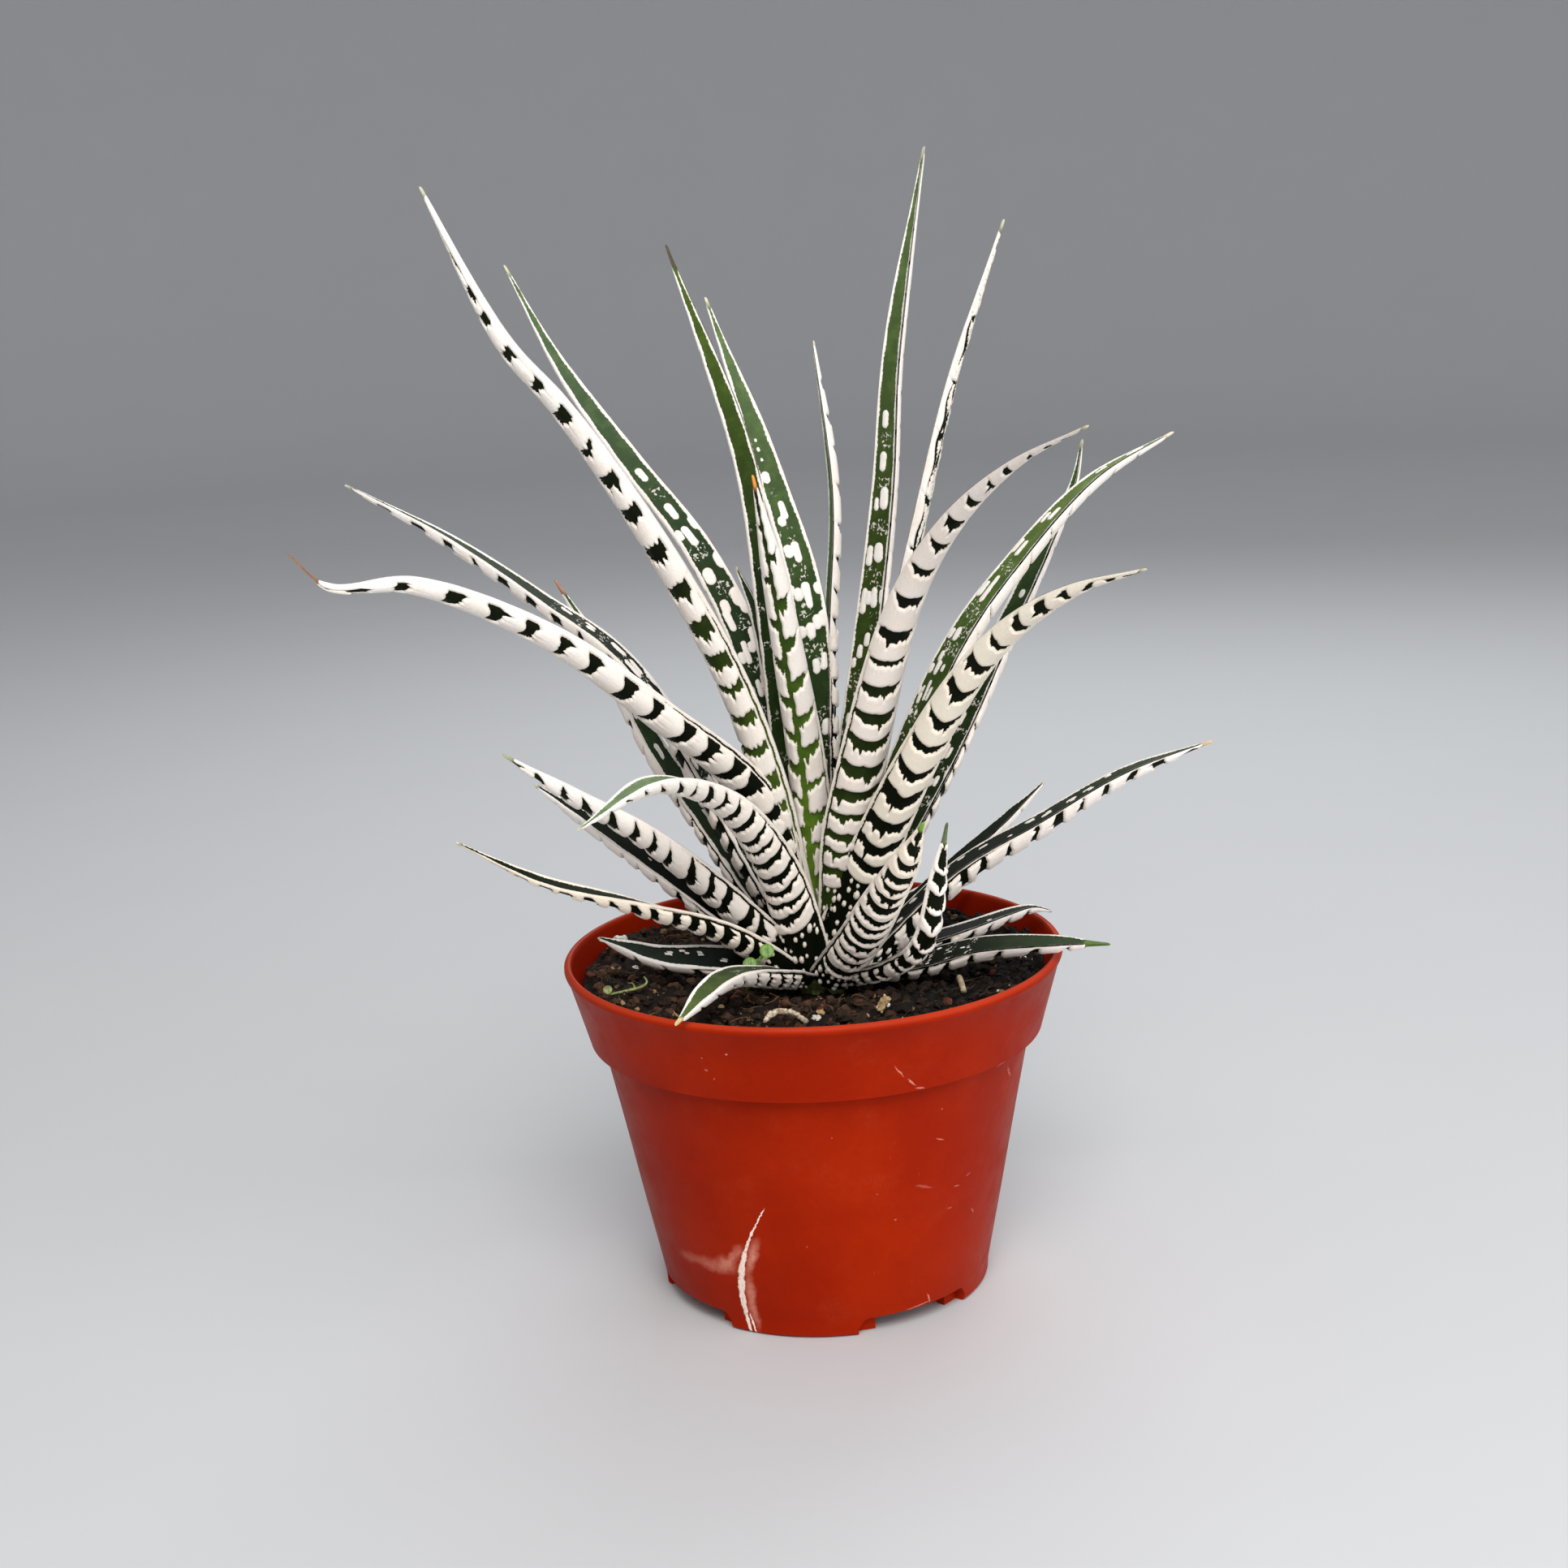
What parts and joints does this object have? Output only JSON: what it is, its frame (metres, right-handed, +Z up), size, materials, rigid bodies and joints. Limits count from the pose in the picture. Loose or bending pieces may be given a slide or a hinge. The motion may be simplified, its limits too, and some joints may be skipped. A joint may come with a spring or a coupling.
{
  "type": "potted haworthia",
  "caption": "Zebra-banded haworthia rosette with long arching succulent leaves, growing in soil in a small round tapered plastic nursery pot with a rim band and feet.",
  "frame": {"origin": "centre of the flat middle of the pot's floor, on the pot's axis and on the surface that the pot stands on", "axes": "+Z up along the pot's axis, -Y towards the front view, +X to the right of that view"},
  "size_m": [0.1783, 0.1251, 0.2361],
  "materials": {
    "pot": "satin moulded terracotta-coloured plastic, scuffed",
    "soil": "dark loose peat with perlite crumbs",
    "stem": "short green stem, matt",
    "leaf": "smooth waxy leaf skin with raised white bands and dots",
    "young_leaf": "smooth waxy lighter leaf skin with raised white bands",
    "dry_root": "dry fibrous root",
    "seedling": "thin smooth seedling leaves"
  },
  "bodies": {
    "root": {"pot": "pot", "soil": "soil", "stem": "stem", "leaf_01": "young_leaf", "leaf_02": "young_leaf", "leaf_03": "young_leaf", "leaf_04": "leaf", "leaf_05": "leaf", "leaf_06": "leaf", "leaf_07": "leaf", "leaf_08": "leaf", "leaf_09": "leaf", "leaf_10": "leaf", "leaf_11": "leaf", "leaf_12": "leaf", "leaf_13": "leaf", "leaf_14": "leaf", "leaf_15": "leaf", "leaf_16": "leaf", "leaf_17": "leaf", "leaf_18": "leaf", "leaf_19": "leaf", "leaf_20": "leaf", "leaf_21": "leaf", "leaf_22": "leaf", "leaf_23": "leaf", "leaf_24": "leaf", "leaf_25": "leaf", "leaf_26": "leaf", "leaf_27": "leaf", "leaf_28": "leaf", "leaf_29": "leaf", "leaf_30": "leaf", "leaf_31": "leaf", "leaf_32": "leaf", "leaf_33": "leaf", "leaf_34": "leaf", "dry_root": "dry_root", "seedling": "seedling"}
  },
  "joints": []
}
